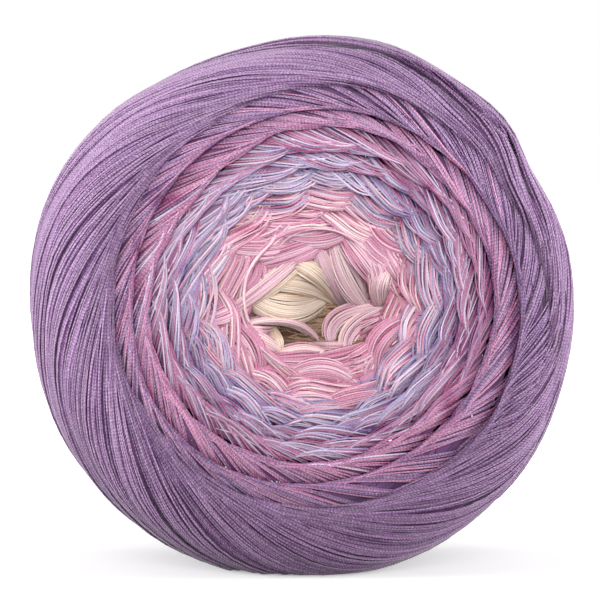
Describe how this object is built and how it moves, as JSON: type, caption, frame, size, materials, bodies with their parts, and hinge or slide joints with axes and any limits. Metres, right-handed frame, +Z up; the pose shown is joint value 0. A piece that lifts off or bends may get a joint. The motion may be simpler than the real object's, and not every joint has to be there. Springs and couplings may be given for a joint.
{
  "type": "yarn cake",
  "caption": "Round coreless cake of wound gradient yarn that stands on its soft side, with spiralled ends and a hollow in the middle.",
  "frame": {"origin": "centre of the bounding box on the floor, under the middle of the cake", "axes": "+Z up, winding axis along Y, the shown end with the hollow faces -Y"},
  "size_m": [0.145, 0.0866, 0.1428],
  "materials": {
    "gradient_yarn": "matte four-ply cotton yarn, dyed from lilac through dusky pink to cream"
  },
  "bodies": {
    "root": {"yarn_cake": "gradient_yarn"}
  },
  "joints": []
}
